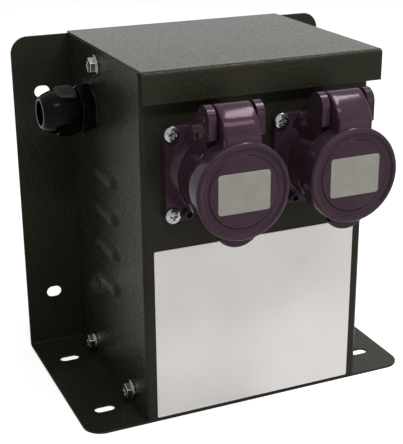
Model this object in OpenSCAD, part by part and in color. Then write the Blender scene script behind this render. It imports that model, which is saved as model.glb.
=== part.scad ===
// Site transformer. A folded steel case stands on a back-and-base chassis with slotted flanges.
// Two panel sockets with sprung flaps are on the front, a cable gland is on the left wall,
// and the laminated core, its coils, the terminal block and the leads are inside.
// Millimetres, +Z up. Origin: centre of the base plate's underside. The front panel faces -Y.

/* [Case] */
// Width of the case across its side walls
case_w = 158; // [156:1:180]
// Depth from the front panel's face to the rear face of the back plate
case_d = 142; // [140:1:165]
// Height from the underside of the base to the top of the lid
case_h = 237; // [235:1:270]
// Thickness of the folded steel sheet
sheet_t = 1.5; // [1.2:0.1:2]
// Outside radius of the folds
bend_r = 3; // [2.5:0.5:4]
// Distance that the base and the back plate stand out past each side wall
flange_ext = 41; // [36:0.5:60]
// Radius of the base plate's front corners
base_corner_r = 13; // [5:1:20]
// Radius of the back plate's top corners
back_corner_r = 12; // [5:1:20]

/* [Lid] */
// Distance that the lid stands out past the right side wall
lid_over = 5.5; // [0:0.5:10]
// Clear gap between the front panel and the lid's lip
lip_gap = 5; // [3:0.5:8]
// Height of the lid's front lip
lip_h = 20; // [10:1:22]

/* [Fixing slots] */
// Distance of the slot rows from the side walls
slot_out = 20.5; // [14:0.5:26]
// Length of the slots in the base
base_slot_l = 14; // [9:0.5:20]
// Width of the slots in the base
base_slot_w = 7.5; // [5:0.5:9]
// Distance of the front slots from the base's front edge
base_slot_front = 28.5; // [20:0.5:40]
// Distance between the slot rows in the base
base_slot_pitch = 80; // [60:1:90]
// Length of the slots in the back plate
wall_slot_l = 11; // [9:0.5:20]
// Width of the slots in the back plate
wall_slot_w = 8.2; // [5:0.1:9]
// Height of the lower slots in the back plate
wall_slot_up = 42; // [30:1:60]
// Distance of the upper slots in the back plate below the top of the lid
wall_slot_down = 41; // [30:1:60]

/* [Case bolts] */
// Radius of the bolt shanks
bolt_r = 3; // [2.5:0.1:3.5]
// Radius of the bolt heads' washer flange
bolt_flange_r = 7; // [6.5:0.1:8]
// Thickness of the washer flange
bolt_flange_t = 1.5; // [1:0.1:2]
// Hexagon of the bolt heads across its flats
bolt_af = 10; // [9:0.5:11]
// Height of the hexagon over the washer flange
bolt_hex_h = 4; // [3:0.5:5]
// Height of the lower bolts over the underside of the base
bolt_up = 11; // [10:0.5:13]
// Distance of the front lower bolts from the front panel's face
bolt_front = 29; // [28:0.5:34]
// Distance between the lower bolts of one side
bolt_pitch = 80; // [76:1:84]
// Distance of the lid bolts from the front panel's face
lid_bolt_back = 79.5; // [60:0.5:95]
// Distance of the lid bolts below the top of the lid
lid_bolt_down = 12.5; // [11:0.5:14]

/* [Louvres] */
// Number of louvres in a side wall
louvre_n = 4; // [1:1:4]
// Length of a louvre
louvre_l = 48.7; // [30:0.1:52]
// Height of a louvre
louvre_h = 10.5; // [8:0.5:14]
// Distance between two louvres
louvre_pitch = 25.5; // [20:0.5:26]
// Distance of the highest louvre's lower edge below the top of the lid
louvre_down = 87.5; // [80:0.5:95]
// Distance of the louvres' middle from the front panel's face
louvre_back = 68; // [60:1:70]
// Distance that a louvre is pressed outwards by
louvre_out = 3.8; // [2.5:0.1:5]

/* [Label] */
// Width of the front label
label_w = 144; // [100:1:150]
// Clear distance between the front label and the sockets' flanges
label_gap = 20.5; // [5:0.5:40]
// Thickness of the front label
label_t = 0.5; // [0.3:0.1:1]
// Corner radius of the front label
label_corner_r = 1; // [0.5:0.5:6]
// Height of the label's lower edge over the base plate
label_up = 1.5; // [1:0.5:5]

/* [Sockets] */
// Distance between the two sockets
socket_pitch = 74; // [72:1:76]
// Distance that the pair of sockets is set towards the right wall
socket_shift = 2; // [0:0.5:3]
// Distance of the sockets' axes below the top of the lid
socket_down = 65; // [62:0.5:66]
// Width and height of a socket's flange
socket_w = 60; // [59:0.5:64]
// Thickness of a socket's flange
socket_flange_t = 4.2; // [3:0.1:5]
// Corner radius of a socket's flange
socket_corner_r = 6; // [4:0.5:8]
// Thickness of the gasket behind a socket's flange
gasket_t = 1; // [0.5:0.1:1.5]
// Distance between a socket's screws, across and up
screw_pitch = 52; // [51:0.5:52.5]
// Radius of the socket screws' shanks
screw_r = 2.5; // [2:0.1:2.5]
// Radius of the socket screws' heads
screw_head_r = 5; // [4:0.1:5]
// Outside radius of a socket's sleeve
sleeve_r = 25; // [24.5:0.1:25.3]
// Radius of the plug recess
recess_r = 22; // [21.5:0.1:22.2]
// Distance from the panel to the sleeve's front rim
sleeve_out = 46.5; // [45:0.5:47]
// Radius of the contact carrier's nose
nose_r = 16; // [14:0.5:16.5]

/* [Flaps] */
// Outside radius of a flap
flap_r = 30; // [29.5:0.1:31]
// Distance from the panel to a flap's front face
flap_out = 53; // [52.5:0.5:54.5]
// Depth of a flap's skirt
skirt_d = 15; // [10:0.5:15.5]
// Height of the hinge over the socket's axis
hinge_up = 41.5; // [41:0.1:43]
// Distance from the panel to the hinge
hinge_out = 34.5; // [34:0.1:35]
// Radius of the hinge pin
pin_r = 2; // [1.5:0.1:2.3]
// Width of the hood that joins the flap to its hinge
hood_w = 23; // [20:0.5:26]
// Gap between the hood and an ear
ear_gap = 1.5; // [0.5:0.1:2.5]
// Thickness of a hinge ear
ear_t = 5; // [3:0.5:6]
// Radius of the ears round the pin
ear_r = 8; // [7:0.1:8.4]

/* [Gland] */
// Distance of the gland's axis below the top of the lid
gland_down = 44; // [37:0.5:50]
// Distance of the gland's axis from the front panel's face
gland_back = 94; // [90:0.5:100]
// Radius of the gland's wall thread
gland_thread_r = 12.4; // [11.5:0.1:12.8]
// Hexagon of the gland's body across its flats
gland_af = 30.5; // [29:0.5:31]
// Hexagon of the gland's cap nut across its flats
cap_af = 29; // [28:0.5:30]
// Radius of the cable way through the gland
cable_r = 8; // [6:0.5:8.3]

/* [Transformer] */
// Width of the laminated core
core_w = 120; // [112:1:124]
// Height of the laminated core
core_h = 100; // [96:1:108]
// Thickness of the stack of laminations
core_stack = 60; // [50:1:66]
// Share of the core's window that the primary winding takes up
primary_share = 0.34; // [0.2:0.01:0.34]
// Share of the core's window that the secondary winding takes up
secondary_share = 0.34; // [0.2:0.01:0.34]
// Radius of the thin leads
thin_lead_r = 1.6; // [1:0.1:1.8]
// Radius of the thick leads
thick_lead_r = 2.2; // [1.5:0.1:2.4]

/* [Hidden] */
$fn = 64;
// Overrun of every cut past the face that it opens
cut = 1;
// Gap between layers, and between a boss and the hole that it drops into
fit = 0.2;
// Clearance of a thread or a shank in its hole
thread_fit = 0.1;
// Clearance of a through hole round a bolt
hole_fit = 0.3;
// Clearance of the hinge pin in the flap's knuckles
pin_fit = 0.08;

half_w = case_w / 2;
front_y = -case_d / 2;
back_y = case_d / 2;
inner_x = half_w - sheet_t;
inner_back = back_y - sheet_t;
lid_under = case_h - sheet_t;
plate_w = case_w + 2 * flange_ext;
slot_x = half_w + slot_out;
socket_z = case_h - socket_down;
gland_z = case_h - gland_down;
label_h = socket_z - socket_w / 2 - label_gap - sheet_t - label_up;

// Tabs that carry the side bolts
tab_w = 22;
tab_h = 18;
tab_ys = [front_y + bolt_front, front_y + bolt_front + bolt_pitch];
lid_bolt_y = front_y + lid_bolt_back;
lid_tab_w = 26;
lid_tab_leg = 12;
weld_nut_h = 5;
weld_nut_af = 10;
nut_spare = 1.5;
bolt_len = 2 * sheet_t + weld_nut_h + nut_spare;
cross_w = 1.4;
cross_l = 6;
cross_d = 2;

// Louvres
louvre_y = front_y + louvre_back;
louvre_z = case_h - louvre_down - (louvre_n - 1) * louvre_pitch;
louvre_root = 0.6;
// Flat crest of a louvre, as a share of its height, and the steps of the slope above it
louvre_crest_share = 0.35;
louvre_steps = 6;

// Painted rivet in the left wall and the lead clip that it holds
rivet_back = 95;
rivet_drop = 10;
rivet_y = front_y + rivet_back;
rivet_z = louvre_z - rivet_drop;
rivet_r = 2;
rivet_head_r = 4.8;
rivet_head_h = 2;
rivet_tail_r = 3.2;
rivet_tail_h = 2.5;
clip_t = 1.2;
clip_w = 8;
clip_reach = 8.5;
clip_x = -inner_x + clip_t + thin_lead_r + fit;
clip_y = rivet_y + clip_reach;

// Sockets, in their own frame: X right, Y up, Z out of the panel
flange_front = gasket_t + socket_flange_t;
panel_hole_r = sleeve_r + hole_fit;
collar_lip = 1;
collar_edge = 1;
collar_h = 9;
collar_r = socket_w / 2 - collar_edge;
collar_out = flange_front + collar_h;
bead_rise = 1.2;
bead_r = sleeve_r + bead_rise;
bead_d = 5;
web_out = 8;
web_t = 4;
housing_rear = 14;
carrier_rear = 20;
carrier_r = recess_r;
nose_drop = 8;
nose_out = sleeve_out - nose_drop;
key_w = 6;
key_d = 1.8;
contact_r = 3.5;
contact_bore_r = 2.5;
contact_x = 6.5;
post_r = 4;
post_d = 8;
ring_up = -26;
ring_x = -16;
ring_r = 3.3;
ring_bore_r = 1.9;
ring_h = 3.5;
ear_in = hood_w / 2 + ear_gap;
ear_foot = 17;
ear_lean = 46;
ear_dish_up = 29;
ear_dish_out = 26;
ear_dish_r = 2.5;
ear_dish_d = 1;
screw_head_h = 3;
socket_nut_h = 4;
socket_nut_af = 8;

// Flaps, in the socket's frame
skirt_t = 2.2;
face_t = 3;
rim_w = 2.6;
groove_in = 7.5;
groove_h = 1.6;
disc_h = 0.7;
skirt_edge_r = 2.5;
skirt_back = flap_out - skirt_d;
seal_front = flap_out - face_t;
seal_rear = sleeve_out + hole_fit;
seal_over = 1;
seal_in_r = recess_r - seal_over;
seal_out_r = flap_r - skirt_t - fit;
hood_r = ear_r;
hood_front_up = 33.5;
hood_drop = 1.5;
hood_front_out = flap_out - hood_drop;
hood_foot_up = 27;
hood_arc_r = 28;
hood_skin = 2.5;
knuckle_w = 4.5;
lug_r = 16;
lug_drop = 21;
lug_lift = 2.5;
lug_out = skirt_back + lug_lift;
lug_t = 5;
plate_label_w = 33.5;
plate_label_h = 24.5;
plate_label_r = 2;
plate_label_t = 0.5;
skirt_clear = 0.6;

// Torsion spring on the hinge pin
wire_r = 0.45;
coil_fit = 0.5;
coil_r = pin_r + wire_r + coil_fit;
coil_turns = 6;
coil_pitch = 1.6;
coil_rings = 8;
coil_sides = 6;
leg_l = 5.5;
leg_steps = 2;
stop_w = 12;
stop_t = 4;

// Gland, in its own frame: Z out of the wall
gland_washer_t = 1.5;
gland_washer_r = 15.2;
gland_hex_h = 9;
gland_nut_h = 5.5;
gland_nut_af = 30;
gland_tail = 3;
gland_neck_r = 11.5;
gland_neck_gap = 1;
cap_grip = 13.5;
cap_dome = 10.5;
cap_mouth_r = 10;
cap_shoulder_r = 15.5;
cap_rib_w = 1.4;
cap_rib_r = 0.45;
cap_ribs = 7;
// Of the cap nut: each chamfer's share of the grip, the ribs' share of the grip, and the nose's
// outline as shares of how far it draws in and of its height
cap_chamfer_share = 0.15;
cap_rib_share = 0.6;
cap_nose_shares = [[0.25, 0.3], [0.5, 0.65], [0.78, 0.9]];
body_turn = -8;
cap_turn = 15;
bore_step = 0.5;
seal_wall = 1.4;
seal_l = 11;
seal_lift = 4;

// Core, coils and what holds them
core_z = sheet_t;
leg_w = core_w / 6;
window_w = core_w / 6;
window_h = core_h - 2 * leg_w;
primary_t = primary_share * window_w;
secondary_t = secondary_share * window_w;
core_top = core_z + core_h;
window_z = core_z + leg_w;
bobbin_t = 1.5;
bobbin_flange_t = 2.5;
bobbin_fit = 0.4;
wrap_t = 0.8;
paper_t = 0.6;
bobbin_half_x = leg_w + bobbin_fit + bobbin_t;
bobbin_half_y = core_stack / 2 + bobbin_fit + bobbin_t;
paper_in = primary_t + 2 * fit;
secondary_in = paper_in + paper_t + fit;
wrap_in = secondary_in + secondary_t + fit;
coil_out = wrap_in + wrap_t;
bobbin_lip = 1;
bobbin_edge = coil_out + bobbin_lip;
coil_corner_r = 2;
core_bolt_x = core_w / 2 - leg_w / 2;
core_bolt_up = leg_w / 2;
core_bolt_r = 2.8;
core_bolt_head_h = 4;
core_bolt_af = 9;
core_nut_h = 5;
bracket_t = 2.5;
bracket_h = 17;
bracket_foot = 20;
foot_in = 14;
foot_out = 13;
foot_x = core_w / 2 - foot_in;
foot_y = core_stack / 2 + foot_out;
foot_nut_h = 5;
foot_nut_af = 9;
shelf_lift = 8;
shelf_d = 34;
block_l = 78;
block_d = 20;
block_h = 16;
block_y = -8;
poles = 7;
pole_pitch = 9;
pole_screw_r = 2.2;
pole_pit = 5;
block_screw_r = 1.8;
block_screw_head_r = 3.4;
block_screw_x = 34.5;
block_screw_tip = 3;
lead_hole_up = 5;
lead_gap = 0.4;
lead_seat = 6;
lead_loop_r = 12;
lead_corner_r = 8;
turn_steps = 3;
cutout_w = 16;
cutout_h = 28;
cutout_d = 5;
tag_t = 1;
tag_r = 5;
tag_barrel_l = 7;
earth_back = 9;
earth_x = clip_x + lead_corner_r + cut + tag_barrel_l + tag_r;
earth_y = inner_back - earth_back;
earth_r = 2.5;
earth_h = 13;
earth_nut_h = 4;
earth_nut_af = 8;

block_z = core_top + shelf_lift + bracket_t;
lead_z = block_z + lead_hole_up;
block_front = block_y - block_d / 2;
block_rear = block_y + block_d / 2;
lead_hole_r = thick_lead_r + lead_gap;

// Colours, as the finish of each kind of piece
paint = "#55534a";
purple = "#5d4660";
black = "#1b1b1d";
zinc = "#c3c6c8";
brass = "#c4a254";
rubber = "#2b2b2c";
copper = "#a8552f";

// Flat shapes

// Rectangle centred on the origin with all its corners rounded
module rounded(w, h, r) {
    square([w - 2 * r, h], center = true);
    square([w, h - 2 * r], center = true);
    for (x = [-1, 1], y = [-1, 1])
        translate([x * (w / 2 - r), y * (h / 2 - r)]) circle(r);
}

// Rectangle that stands on the X axis with its two upper corners rounded
module arch(w, h, r) {
    intersection() {
        translate([-w / 2, 0]) square([w, h]);
        union() {
            translate([-w / 2, 0]) square([w, h - r]);
            translate([-w / 2 + r, 0]) square([w - 2 * r, h]);
            for (s = [-1, 1])
                translate([s * (w / 2 - r), h - r]) circle(r);
        }
    }
}

// Slot centred on the origin, its length along X
module slot(l, w) {
    square([l - w, w], center = true);
    for (s = [-1, 1])
        translate([s * (l - w) / 2, 0]) circle(w / 2);
}

// Quarter of a sheet fold in the corner towards +X and +Y, its centre at the origin
module fold() {
    intersection() {
        difference() {
            circle(bend_r);
            circle(bend_r - sheet_t);
        }
        square(bend_r);
    }
}

// Placing

// Turns a flat shape's X to Y and its Y to Z, and extrudes it along X from x0 to x1
module along_x(x0, x1) {
    translate([x0, 0, 0]) rotate([90, 0, 90]) linear_extrude(x1 - x0) children();
}

// Sets a piece on a side wall's outer face, its Z pointing away from the wall
module on_side(s, y, z) {
    translate([s * half_w, y, z]) rotate([0, s * 90, 0]) children();
}

// Sets a piece on the front panel's face, its Z pointing away from the panel
module on_front(x, z) {
    translate([x, front_y, z]) rotate([90, 0, 0]) children();
}

// Sets a piece on the socket of one side, -1 left or 1 right
module on_socket(s) {
    on_front(socket_shift + s * socket_pitch / 2, socket_z) children();
}

// Repeats a piece at a socket's four screws
module at_screws() {
    for (x = [-1, 1], y = [-1, 1])
        translate([x * screw_pitch / 2, y * screw_pitch / 2, 0]) children();
}

// Repeats a piece at all the case bolts
module at_case_bolts() {
    for (s = [-1, 1]) {
        for (y = tab_ys) on_side(s, y, bolt_up) children();
        on_side(s, lid_bolt_y, case_h - lid_bolt_down) children();
    }
}

// Small turned and hexagonal pieces

module ring(r, bore, h) {
    difference() {
        cylinder(r = r, h = h);
        translate([0, 0, -cut]) cylinder(r = bore, h = h + 2 * cut);
    }
}

// Hexagonal nut that stands on the origin
module nut(af, bore, h) {
    difference() {
        cylinder(r = af / sqrt(3), h = h, $fn = 6);
        translate([0, 0, -cut]) cylinder(r = bore, h = h + 2 * cut);
    }
}

// Cross recess, cut downwards from the origin
module cross(l, w, d) {
    for (a = [0, 90])
        rotate(a) translate([-l / 2, -w / 2, -d]) cube([l, w, d + cut]);
}

// Tubes and wires along a path

function unit(v) = v / norm(v);

// Direction of a path at its point i
function heading(p, i) = unit(p[min(i + 1, len(p) - 1)] - p[max(i - 1, 0)]);

// Round wire of radius r along the points p; side is a direction that the path never takes
module wire(p, r, side, sides = 8) {
    n = len(p);
    pts = [for (i = [0:n - 1])
        let (u = unit(cross(heading(p, i), side)), v = cross(u, heading(p, i)))
        for (k = [0:sides - 1])
            p[i] + r * (cos(360 * k / sides) * u + sin(360 * k / sides) * v)];
    walls = [for (i = [0:n - 2], k = [0:sides - 1])
        let (a = i * sides + k, b = i * sides + (k + 1) % sides)
        for (f = [[a, b, b + sides], [a, b + sides, a + sides]]) f];
    ends = [for (k = [1:sides - 2])
        for (f = [[0, k + 1, k], [(n - 1) * sides, (n - 1) * sides + k, (n - 1) * sides + k + 1]]) f];
    polyhedron(pts, concat(walls, ends));
}

// Chassis: the base and the back plate, folded from one sheet

module bolt_tab(s, y) {
    x0 = s > 0 ? inner_x - sheet_t : -inner_x;
    translate([x0, y - tab_w / 2, 0]) cube([sheet_t, tab_w, tab_h]);
}

// Window in the base that a tab was bent up from
module tab_window(s, y) {
    x0 = s > 0 ? inner_x - sheet_t - tab_h : -inner_x + sheet_t;
    translate([x0, y - tab_w / 2, -cut]) cube([tab_h, tab_w, sheet_t + 2 * cut]);
}

module chassis() {
    color(paint) difference() {
        union() {
            translate([0, back_y - bend_r, 0]) rotate([0, 0, 180])
                linear_extrude(sheet_t) arch(plate_w, case_d - bend_r, base_corner_r);
            translate([0, back_y, bend_r]) rotate([90, 0, 0])
                linear_extrude(sheet_t) arch(plate_w, lid_under - bend_r, back_corner_r);
            translate([0, back_y - bend_r, bend_r]) rotate([90, 0, 90])
                translate([0, 0, -plate_w / 2]) linear_extrude(plate_w) mirror([0, 1]) fold();
            for (s = [-1, 1], y = tab_ys) bolt_tab(s, y);
        }
        for (s = [-1, 1]) {
            for (k = [0, 1]) {
                translate([s * slot_x, front_y + base_slot_front + k * base_slot_pitch, -cut])
                    linear_extrude(sheet_t + 2 * cut) slot(base_slot_l, base_slot_w);
                translate([s * slot_x, back_y + cut, k > 0 ? case_h - wall_slot_down : wall_slot_up])
                    rotate([90, 0, 0])
                    linear_extrude(sheet_t + 2 * cut) slot(wall_slot_l, wall_slot_w);
            }
            for (y = tab_ys) {
                tab_window(s, y);
                on_side(s, y, bolt_up)
                    translate([0, 0, -2 * sheet_t - cut])
                    cylinder(r = bolt_r + hole_fit, h = sheet_t + 2 * cut);
            }
        }
    }
}

// Case wrap: left wall, front panel and right wall, folded from one sheet

module wrap_plan(inset) {
    r = bend_r - inset;
    translate([-half_w + inset, front_y + bend_r])
        square([case_w - 2 * inset, case_d - bend_r - sheet_t + (inset > 0 ? cut : 0)]);
    translate([-half_w + bend_r, front_y + inset])
        square([case_w - 2 * bend_r, case_d / 2]);
    for (s = [-1, 1])
        translate([s * (half_w - bend_r), front_y + bend_r]) circle(r);
}

// Louvres of the left wall: pressed outwards, with round ends, and open along the lower edge

// Places a louvre's half section: its height along X, outwards along Y
module at_louvres() {
    for (k = [0:louvre_n - 1])
        translate([-half_w, louvre_y, louvre_z + k * louvre_pitch]) rotate([0, -90, 0]) children();
}

// Outline of a louvre, set outwards by lift: a flat crest, then half a wave down to the wall
function louvre_slope(lift) = concat([[0, louvre_out + lift]], [for (k = [0:louvre_steps])
    let (t = k / louvre_steps)
    [louvre_h * (louvre_crest_share + (1 - louvre_crest_share) * t),
        louvre_out * (1 + cos(180 * t)) / 2 + lift]]);

// Sweeps a half section along the louvre, with a quarter turn at each end
module louvre_sweep() {
    half_run = louvre_l / 2 - louvre_h;
    rotate([90, 0, 0]) translate([0, 0, -half_run]) linear_extrude(2 * half_run) children();
    for (m = [0, 1]) mirror([0, m, 0]) translate([0, half_run, 0])
        rotate_extrude(angle = 90) children();
}

module side_louvres() {
    root = [[louvre_h + louvre_root, 0], [louvre_h + louvre_root, -sheet_t]];
    slope = louvre_slope(-sheet_t);
    at_louvres() louvre_sweep()
        polygon(concat(louvre_slope(0), root, [for (k = [len(slope) - 1:-1:0]) slope[k]]));
}

module louvre_holes() {
    at_louvres() louvre_sweep() translate([0, -sheet_t - cut]) square([louvre_h, sheet_t + 2 * cut]);
}

module both_sides() {
    children();
    mirror([1, 0, 0]) children();
}

module case_wrap() {
    color(paint) {
        difference() {
            translate([0, 0, sheet_t]) linear_extrude(lid_under - sheet_t) difference() {
                wrap_plan(0);
                wrap_plan(sheet_t);
            }
            both_sides() louvre_holes();
            // Relief over the chassis's fold
            translate([-half_w - cut, inner_back - bend_r, 0])
                cube([case_w + 2 * cut, bend_r + cut, bend_r + sheet_t]);
            at_case_bolts() translate([0, 0, -sheet_t - cut])
                cylinder(r = bolt_r + hole_fit, h = sheet_t + 2 * cut);
            on_side(-1, front_y + gland_back, gland_z) translate([0, 0, -sheet_t - cut])
                cylinder(r = gland_thread_r + hole_fit, h = sheet_t + 2 * cut);
            on_side(-1, rivet_y, rivet_z) translate([0, 0, -sheet_t - cut])
                cylinder(r = rivet_r + thread_fit, h = sheet_t + 2 * cut);
            for (s = [-1, 1]) on_socket(s) translate([0, 0, -sheet_t - cut]) {
                cylinder(r = panel_hole_r, h = sheet_t + 2 * cut);
                at_screws() cylinder(r = screw_r + hole_fit, h = sheet_t + 2 * cut);
            }
        }
        both_sides() side_louvres();
    }
}

// Lid: top plate with its front lip, and two angle tabs welded under it

module lid() {
    lip_y = front_y - lip_gap - sheet_t;
    right = half_w + lid_over;
    color(paint) difference() {
        union() {
            translate([-half_w, lip_y + bend_r, lid_under])
                cube([case_w + lid_over, back_y - lip_y - bend_r, sheet_t]);
            translate([-half_w, lip_y, case_h - lip_h])
                cube([case_w + lid_over, sheet_t, lip_h - bend_r]);
            translate([0, lip_y + bend_r, case_h - bend_r])
                along_x(-half_w, right) mirror([1, 0]) fold();
            for (s = [-1, 1]) {
                x0 = s > 0 ? inner_x - sheet_t : -inner_x;
                x1 = s > 0 ? inner_x - lid_tab_leg : -inner_x;
                translate([x0, lid_bolt_y - lid_tab_w / 2, lid_under - tab_h])
                    cube([sheet_t, lid_tab_w, tab_h]);
                translate([x1, lid_bolt_y - lid_tab_w / 2, lid_under - sheet_t])
                    cube([lid_tab_leg, lid_tab_w, sheet_t]);
            }
        }
        for (s = [-1, 1])
            on_side(s, lid_bolt_y, case_h - lid_bolt_down)
                translate([0, 0, -2 * sheet_t - cut])
                cylinder(r = bolt_r + hole_fit, h = sheet_t + 2 * cut);
    }
}

module front_label() {
    color("#c9cacb")
        on_front(0, sheet_t + label_up + label_h / 2)
        linear_extrude(label_t) rounded(label_w, label_h, label_corner_r);
}

// Washer-head bolts of the case, with a cross recess in the hexagon

module case_bolts() {
    color(zinc) at_case_bolts() difference() {
        union() {
            translate([0, 0, -bolt_len]) cylinder(r = bolt_r, h = bolt_len + cut);
            cylinder(r = bolt_flange_r, h = bolt_flange_t);
            cylinder(r = bolt_af / sqrt(3), h = bolt_flange_t + bolt_hex_h, $fn = 6);
        }
        translate([0, 0, bolt_flange_t + bolt_hex_h]) cross(cross_l, cross_w, cross_d);
    }
}

module weld_nuts() {
    color(zinc) at_case_bolts() translate([0, 0, -2 * sheet_t - weld_nut_h])
        nut(weld_nut_af, bolt_r + thread_fit, weld_nut_h);
}

// Rivet with a domed head, turned from its half section
module side_rivet() {
    dome_r = (rivet_head_r * rivet_head_r + rivet_head_h * rivet_head_h) / (2 * rivet_head_h);
    color(paint) on_side(-1, rivet_y, rivet_z) {
        intersection() {
            translate([0, 0, rivet_head_h - dome_r]) sphere(dome_r);
            cylinder(r = rivet_head_r + cut, h = rivet_head_h + cut);
        }
        translate([0, 0, -sheet_t - clip_t - cut]) cylinder(r = rivet_r, h = sheet_t + clip_t + 2 * cut);
        translate([0, 0, -sheet_t - clip_t - rivet_tail_h])
            cylinder(r = rivet_tail_r, h = rivet_tail_h);
    }
}

// Nylon clip that the rivet holds against the wall, with its loop round the earth lead
module lead_clip() {
    loop_in = thin_lead_r + fit;
    color(black) translate([0, 0, rivet_z - clip_w / 2]) difference() {
        union() {
            translate([-inner_x, rivet_y - clip_w / 2, 0]) cube([clip_t, clip_w / 2 + clip_reach, clip_w]);
            translate([clip_x, clip_y, 0]) cylinder(r = loop_in + clip_t, h = clip_w);
        }
        translate([clip_x, clip_y, -cut]) cylinder(r = loop_in, h = clip_w + 2 * cut);
        translate([-inner_x - cut, rivet_y, clip_w / 2]) rotate([0, 90, 0])
            cylinder(r = rivet_r + thread_fit, h = clip_t + 2 * cut);
    }
}

// Cable gland on the left wall

module on_gland() {
    on_side(-1, front_y + gland_back, gland_z) children();
}

gland_shoulder = gland_washer_t + gland_hex_h;
cap_base = gland_shoulder + gland_neck_gap;
cap_top = cap_base + cap_grip + cap_dome;
seal_base = cap_base + seal_lift;
way_r = cable_r + bore_step;

module gland_washer() {
    color(rubber) on_gland() ring(gland_washer_r, gland_thread_r + fit, gland_washer_t);
}

module gland_body() {
    tail = sheet_t + gland_nut_h + gland_tail;
    color(black) on_gland() difference() {
        union() {
            translate([0, 0, -tail]) cylinder(r = gland_thread_r, h = tail + gland_washer_t + cut);
            translate([0, 0, gland_washer_t]) rotate(body_turn)
                cylinder(r = gland_af / sqrt(3), h = gland_hex_h, $fn = 6);
            cylinder(r = gland_neck_r, h = cap_base + cap_grip);
        }
        translate([0, 0, -tail - cut]) cylinder(r = way_r, h = tail + cap_top);
        translate([0, 0, seal_base]) cylinder(r = cable_r + seal_wall + fit, h = cap_top);
    }
}

module gland_locknut() {
    color(black) on_gland() translate([0, 0, -sheet_t - gland_nut_h])
        nut(gland_nut_af, gland_thread_r + thread_fit, gland_nut_h);
}

module gland_seal() {
    color(rubber) on_gland() translate([0, 0, seal_base])
        ring(cable_r + seal_wall, cable_r, seal_l);
}

// Cap nut: a hexagon with fine grip grooves in its flats, and a nose turned from its half section
module gland_cap() {
    nose = cap_shoulder_r - cap_mouth_r;
    inner = gland_neck_r + thread_fit;
    grip_top = cap_base + cap_grip;
    color(black) on_gland() rotate(cap_turn) difference() {
        union() {
            intersection() {
                translate([0, 0, cap_base]) cylinder(r = cap_af / sqrt(3), h = cap_grip, $fn = 6);
                rotate_extrude() polygon([[0, cap_base], [cap_af / 2, cap_base],
                    [cap_af / sqrt(3), cap_base + cap_grip * cap_chamfer_share],
                    [cap_af / sqrt(3), cap_base + cap_grip * (1 - cap_chamfer_share)],
                    [cap_shoulder_r, grip_top], [0, grip_top]]);
            }
            rotate_extrude() intersection() {
                polygon(concat([[0, grip_top], [cap_af / 2, grip_top]],
                    [for (n = cap_nose_shares) [cap_shoulder_r - nose * n[0], grip_top + cap_dome * n[1]]],
                    [[cap_mouth_r, cap_top], [0, cap_top]]));
                square([cap_shoulder_r, cap_top]);
            }
        }
        rotate_extrude() {
            translate([0, cap_base - cut]) square([inner, cap_grip + cut]);
            polygon([[0, grip_top - cut], [inner, grip_top - cut], [inner, grip_top],
                [way_r + seal_wall, seal_base + seal_l + fit], [way_r, seal_base + seal_l + 2 * fit],
                [way_r, cap_top + cut], [0, cap_top + cut]]);
        }
        for (a = [30:60:330], k = [0:cap_ribs - 1])
            rotate(a) translate([cap_af / 2 + cap_rib_r / 2, (k - (cap_ribs - 1) / 2) * cap_rib_w,
                cap_base + cap_grip * (1 - cap_rib_share) / 2])
                cylinder(r = cap_rib_r, h = cap_grip * cap_rib_share, $fn = 16);
    }
}

// Sockets

module gasket(s) {
    color(rubber) on_socket(s) difference() {
        linear_extrude(gasket_t) rounded(socket_w, socket_w, socket_corner_r);
        translate([0, 0, -cut]) cylinder(r = panel_hole_r, h = gasket_t + 2 * cut);
        at_screws() translate([0, 0, -cut]) cylinder(r = screw_r + hole_fit, h = gasket_t + 2 * cut);
    }
}

// Side view of a hinge ear, up along X and out along Y: round at the pin, with a sloping back.
// In front it keeps inside the path of the flap's skirt.
module ear_side() {
    reach = hinge_up - flap_r * cos(asin(ear_in / flap_r)) - skirt_clear;
    tip_up = hinge_up + ear_r * cos(ear_lean);
    tip_out = hinge_out - ear_r * sin(ear_lean);
    translate([hinge_up, hinge_out]) circle(ear_r);
    difference() {
        polygon([[tip_up, tip_out], [hinge_up, hinge_out + ear_r], [ear_foot, hinge_out + ear_r],
            [ear_foot, flange_front], [tip_up - (tip_out - flange_front) * tan(ear_lean), flange_front]]);
        difference() {
            translate([0, skirt_back - skirt_clear]) square([hinge_up, skirt_d]);
            translate([hinge_up, hinge_out]) circle(reach);
        }
    }
}

module socket(s) {
    color(purple) on_socket(s) difference() {
        union() {
            translate([0, 0, gasket_t]) linear_extrude(socket_flange_t)
                rounded(socket_w, socket_w, socket_corner_r);
            translate([0, 0, flange_front])
                cylinder(r1 = collar_r, r2 = sleeve_r + collar_lip, h = collar_out - flange_front);
            for (k = [-1, 1]) {
                x0 = k > 0 ? ear_in : -ear_in - ear_t;
                along_x(x0, x0 + ear_t) ear_side();
            }
            translate([ring_x, ring_up, flange_front]) cylinder(r = ring_r, h = ring_h);
        }
        // Bore for the sleeve
        cylinder(r = sleeve_r + thread_fit, h = sleeve_out);
        // Screw seats, cut into the collar's foot
        at_screws() translate([0, 0, -cut]) cylinder(r = screw_r + hole_fit, h = flange_front + 2 * cut);
        at_screws() translate([0, 0, flange_front])
            cylinder(r = screw_head_r + hole_fit, h = collar_out);
        translate([ring_x, ring_up, flange_front]) cylinder(r = ring_bore_r, h = ring_h + cut);
        translate([0, hinge_up, hinge_out]) rotate([0, 90, 0])
            cylinder(r = pin_r + thread_fit / 2, h = socket_w, center = true);
        for (k = [-1, 1])
            translate([k * (ear_in + ear_t), ear_dish_up, ear_dish_out]) rotate([0, 90, 0])
                cylinder(r = ear_dish_r, h = 2 * ear_dish_d, center = true);
    }
}

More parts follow.
